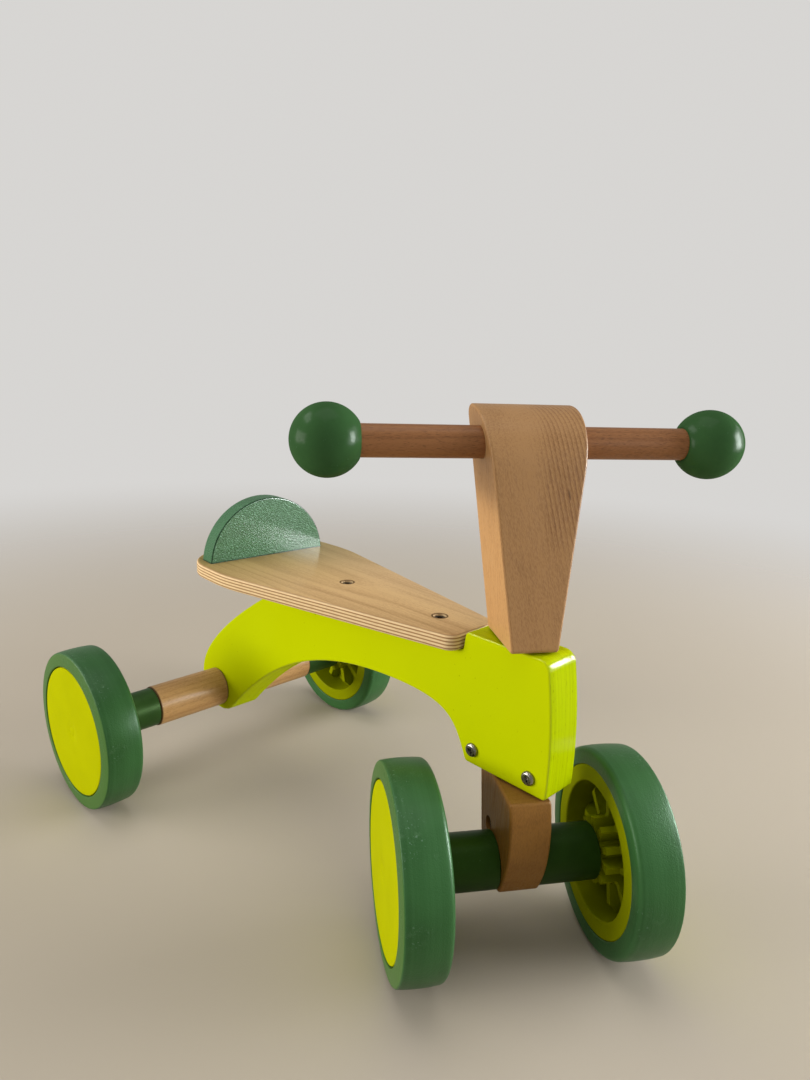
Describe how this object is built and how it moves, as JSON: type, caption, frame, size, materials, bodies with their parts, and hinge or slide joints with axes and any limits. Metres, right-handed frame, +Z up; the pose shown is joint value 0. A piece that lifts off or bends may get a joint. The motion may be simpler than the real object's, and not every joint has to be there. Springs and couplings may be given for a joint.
{
  "type": "balance bike",
  "caption": "Wooden toddler ride-on: arched frame on rubber-tyred wheels, tapered plywood seat with half-round backrest, and a beech post with dowel handlebar that steers the front axle.",
  "frame": {"origin": "middle of the overall box's underside, on the floor, with the front axle turned as in the picture", "axes": "-Y forward, -X to the rider's right, +Z up; the frame's middle plane is x = 0"},
  "size_m": [0.342, 0.5744, 0.3968],
  "materials": {
    "frame_paint": "gloss lime-green paint",
    "seat_ply": "clear-lacquered birch plywood",
    "beech": "clear-lacquered beech",
    "dowel_wood": "clear-lacquered dowel",
    "green_paint": "gloss green paint",
    "tyre_rubber": "matte green rubber",
    "lime_plastic": "soft gloss lime",
    "dark_green_plastic": "matte dark green",
    "steel": "zinc-plated steel",
    "nylon": "black nylon",
    "brass": "turned brass"
  },
  "bodies": {
    "frame": {"frame_beam": "frame_paint", "seat_board": "seat_ply", "seat_screws": "steel", "seat_inserts": "brass", "backrest": "green_paint", "backrest_screws": "steel", "upper_steering_bush": "nylon", "lower_steering_bush": "nylon", "head_screws": "steel", "head_sleeve_nuts": "steel", "rear_axle": "steel", "rear_axle_washers": "steel", "rear_axle_caps": "steel", "rear_tube_left": "dowel_wood", "rear_tube_right": "dowel_wood", "rear_collar_left": "dark_green_plastic", "rear_collar_right": "dark_green_plastic"},
    "steering": {"handlebar_post": "beech", "handlebar": "dowel_wood", "bar_lock_screw": "steel", "knob_left": "green_paint", "knob_right": "green_paint", "steering_rod": "steel", "post_insert": "brass", "upper_thrust_washer": "nylon", "lower_thrust_washer": "nylon", "fork_block": "beech", "barrel_nut": "steel", "front_axle": "steel", "front_axle_washers": "steel", "front_axle_caps": "steel", "front_sleeve_left": "dark_green_plastic", "front_sleeve_right": "dark_green_plastic"},
    "front_left_wheel": {"front_left_tyre": "tyre_rubber", "front_left_hub": "lime_plastic", "front_left_disc": "lime_plastic", "front_left_bush": "nylon"},
    "front_right_wheel": {"front_right_tyre": "tyre_rubber", "front_right_hub": "lime_plastic", "front_right_disc": "lime_plastic", "front_right_bush": "nylon"},
    "rear_left_wheel": {"rear_left_tyre": "tyre_rubber", "rear_left_hub": "lime_plastic", "rear_left_disc": "lime_plastic", "rear_left_bush": "nylon"},
    "rear_right_wheel": {"rear_right_tyre": "tyre_rubber", "rear_right_hub": "lime_plastic", "rear_right_disc": "lime_plastic", "rear_right_bush": "nylon"}
  },
  "joints": [
    {"name": "steering", "type": "hinge", "parent": "frame", "child": "steering", "pos_m": [0, -0.16178, 0.19], "axis": [0, 0, 1], "range_deg": [-6.3, 73.7]},
    {"name": "front_left_spin", "type": "hinge", "parent": "steering", "child": "front_left_wheel", "pos_m": [0.05701, -0.21687, 0.075], "axis": [-0.832, 0.5548, 0], "continuous": true},
    {"name": "front_right_spin", "type": "hinge", "parent": "steering", "child": "front_right_wheel", "pos_m": [-0.07277, -0.13032, 0.075], "axis": [-0.832, 0.5548, 0], "continuous": true},
    {"name": "rear_left_spin", "type": "hinge", "parent": "frame", "child": "rear_left_wheel", "pos_m": [0.153, 0.21222, 0.075], "axis": [1, 0, 0], "continuous": true},
    {"name": "rear_right_spin", "type": "hinge", "parent": "frame", "child": "rear_right_wheel", "pos_m": [-0.153, 0.21222, 0.075], "axis": [1, 0, 0], "continuous": true}
  ]
}
